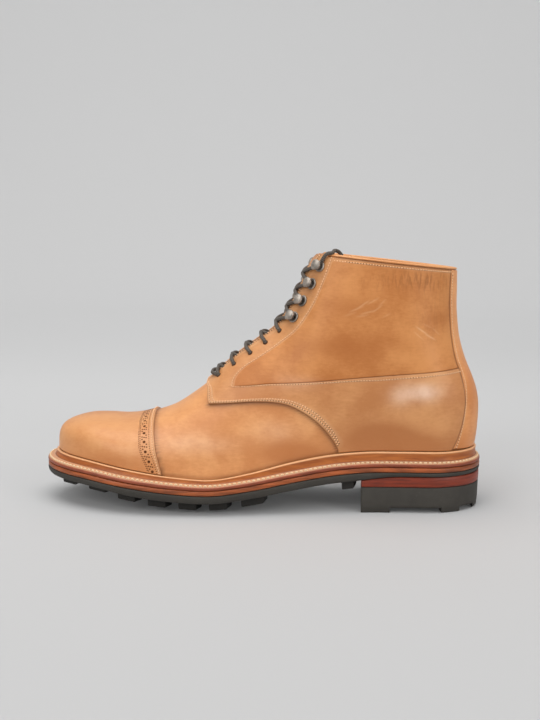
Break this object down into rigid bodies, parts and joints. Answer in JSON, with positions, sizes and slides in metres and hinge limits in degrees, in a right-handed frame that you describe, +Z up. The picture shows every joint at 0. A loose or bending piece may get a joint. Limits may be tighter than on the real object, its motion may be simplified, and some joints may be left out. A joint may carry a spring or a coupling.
{
  "type": "navvy boot",
  "caption": "Left ankle-height work boot: hollow tan leather upper with toe cap and derby quarters, laced through eyelets and hooks, on a storm welt and lugged rubber sole with heel.",
  "frame": {"origin": "on the floor, under the middle of the boot's bounding box", "axes": "-X towards the toe, +X towards the heel, -Y towards the outer side of this left boot, +Z up"},
  "size_m": [0.3112, 0.1078, 0.1777],
  "materials": {
    "tan_leather": "smooth natural tan leather, soft gloss",
    "lining_leather": "plain undyed lining leather, matt",
    "welt_leather": "brown waxed welt and midsole leather",
    "lift_leather": "red-brown stained heel leather",
    "dark_rubber": "dark grey-brown matt rubber",
    "bronze_hook": "dull antique bronze",
    "lace_cotton": "dark grey-brown waxed cotton cord"
  },
  "bodies": {
    "root": {"upper": "tan_leather", "toe_cap": "tan_leather", "quarter_outer": "tan_leather", "quarter_inner": "tan_leather", "leg_outer": "tan_leather", "leg_inner": "tan_leather", "back_strip": "tan_leather", "tongue": "tan_leather", "insole": "lining_leather", "welt": "welt_leather", "midsole": "welt_leather", "outsole": "dark_rubber", "heel_lift": "lift_leather", "heel_block": "dark_rubber", "lace": "lace_cotton", "hook_outer_1": "bronze_hook", "hook_outer_2": "bronze_hook", "hook_outer_3": "bronze_hook", "hook_outer_4": "bronze_hook", "hook_inner_1": "bronze_hook", "hook_inner_2": "bronze_hook", "hook_inner_3": "bronze_hook", "hook_inner_4": "bronze_hook"}
  },
  "joints": []
}
